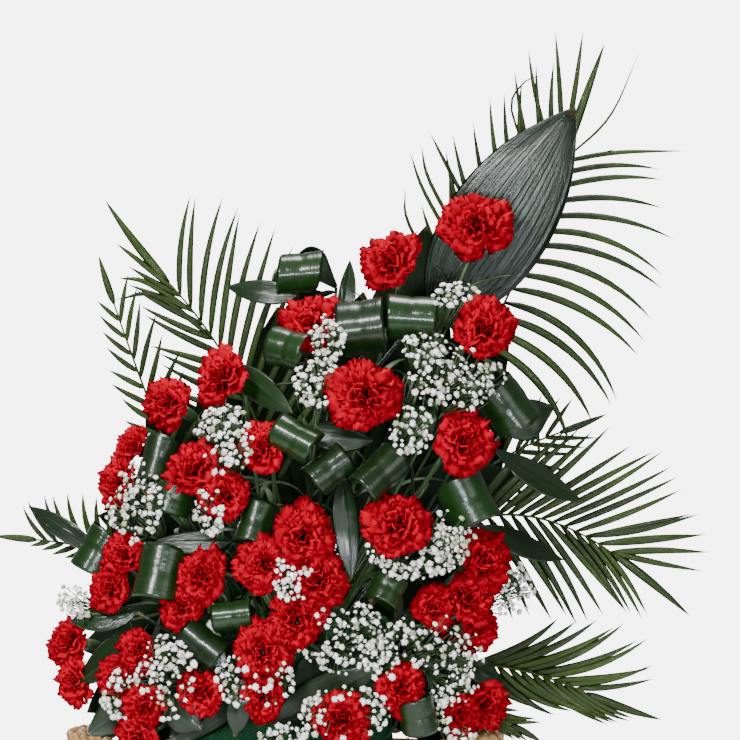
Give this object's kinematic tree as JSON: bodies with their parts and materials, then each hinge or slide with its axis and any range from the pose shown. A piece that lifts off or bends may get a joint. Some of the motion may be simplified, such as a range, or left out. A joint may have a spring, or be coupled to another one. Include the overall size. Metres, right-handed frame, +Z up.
{
  "type": "funeral flower arrangement",
  "caption": "One-sided standing funeral arrangement in an oval wicker basket: red carnations, looped aspidistra leaves, gypsophila and fanned palm fronds in floral foam.",
  "frame": {"origin": "middle of the basket's flat underside, on the surface it stands on", "axes": "+Z up, -Y the show side that faces the visitor, +X to the right seen from that side"},
  "size_m": [0.7463, 0.4124, 1.0052],
  "materials": {
    "carnation_petal": "velvety petals, maroon in the furrows",
    "aspidistra_leaf": "waxy dark green with fine parallel veins",
    "palm_leaflet": "satin mid green",
    "green_stem": "matt grey-green",
    "gypsophila_floret": "matt white",
    "floral_foam": "dull green open foam",
    "liner_plastic": "matt black",
    "wicker": "satin peeled willow"
  },
  "bodies": {
    "root": {"basket_wall": "wicker", "basket_rim_braid": "wicker", "basket_foot_braid": "wicker", "basket_liner": "liner_plastic", "floral_foam": "floral_foam", "carnation_stems": "green_stem", "carnations_crown": "carnation_petal", "carnations_upper_middle": "carnation_petal", "carnations_upper_right": "carnation_petal", "carnations_upper_left": "carnation_petal", "carnations_heart_top": "carnation_petal", "carnations_right_shoulder": "carnation_petal", "carnations_left_shoulder": "carnation_petal", "carnations_left_tip": "carnation_petal", "carnations_centre_right": "carnation_petal", "carnations_left_middle": "carnation_petal", "carnations_middle": "carnation_petal", "carnations_left_high": "carnation_petal", "carnations_left_side": "carnation_petal", "carnations_centre": "carnation_petal", "carnations_inner_left": "carnation_petal", "carnations_right": "carnation_petal", "carnations_low_right": "carnation_petal", "carnations_low_middle": "carnation_petal", "carnations_rim_right": "carnation_petal", "carnations_low_left": "carnation_petal", "carnations_inner_low": "carnation_petal", "carnations_rim_left": "carnation_petal", "carnations_left_rim_side": "carnation_petal", "carnations_back_left": "carnation_petal", "carnations_back_right": "carnation_petal", "carnations_back_low_left": "carnation_petal", "carnations_back_low_right": "carnation_petal", "aspidistra_crown_leaf": "aspidistra_leaf", "aspidistra_leaves_top": "aspidistra_leaf", "aspidistra_leaves_right": "aspidistra_leaf", "aspidistra_leaves_middle": "aspidistra_leaf", "aspidistra_leaves_left": "aspidistra_leaf", "aspidistra_leaves_low_left": "aspidistra_leaf", "aspidistra_leaves_low_right": "aspidistra_leaf", "aspidistra_leaves_back": "aspidistra_leaf", "palm_frond_crown": "palm_leaflet", "palm_frond_upper_left": "palm_leaflet", "palm_frond_left": "palm_leaflet", "palm_frond_left_low": "palm_leaflet", "palm_frond_right": "palm_leaflet", "palm_frond_right_back": "palm_leaflet", "palm_frond_right_low": "palm_leaflet", "palm_frond_right_rim": "palm_leaflet", "gypsophila_top_left": "gypsophila_floret", "gypsophila_top_right": "gypsophila_floret", "gypsophila_middle_right": "gypsophila_floret", "gypsophila_upper_left": "gypsophila_floret", "gypsophila_left": "gypsophila_floret", "gypsophila_right": "gypsophila_floret", "gypsophila_right_side": "gypsophila_floret", "gypsophila_centre": "gypsophila_floret", "gypsophila_low_right": "gypsophila_floret", "gypsophila_low_left": "gypsophila_floret", "gypsophila_low_middle": "gypsophila_floret"}
  },
  "joints": []
}
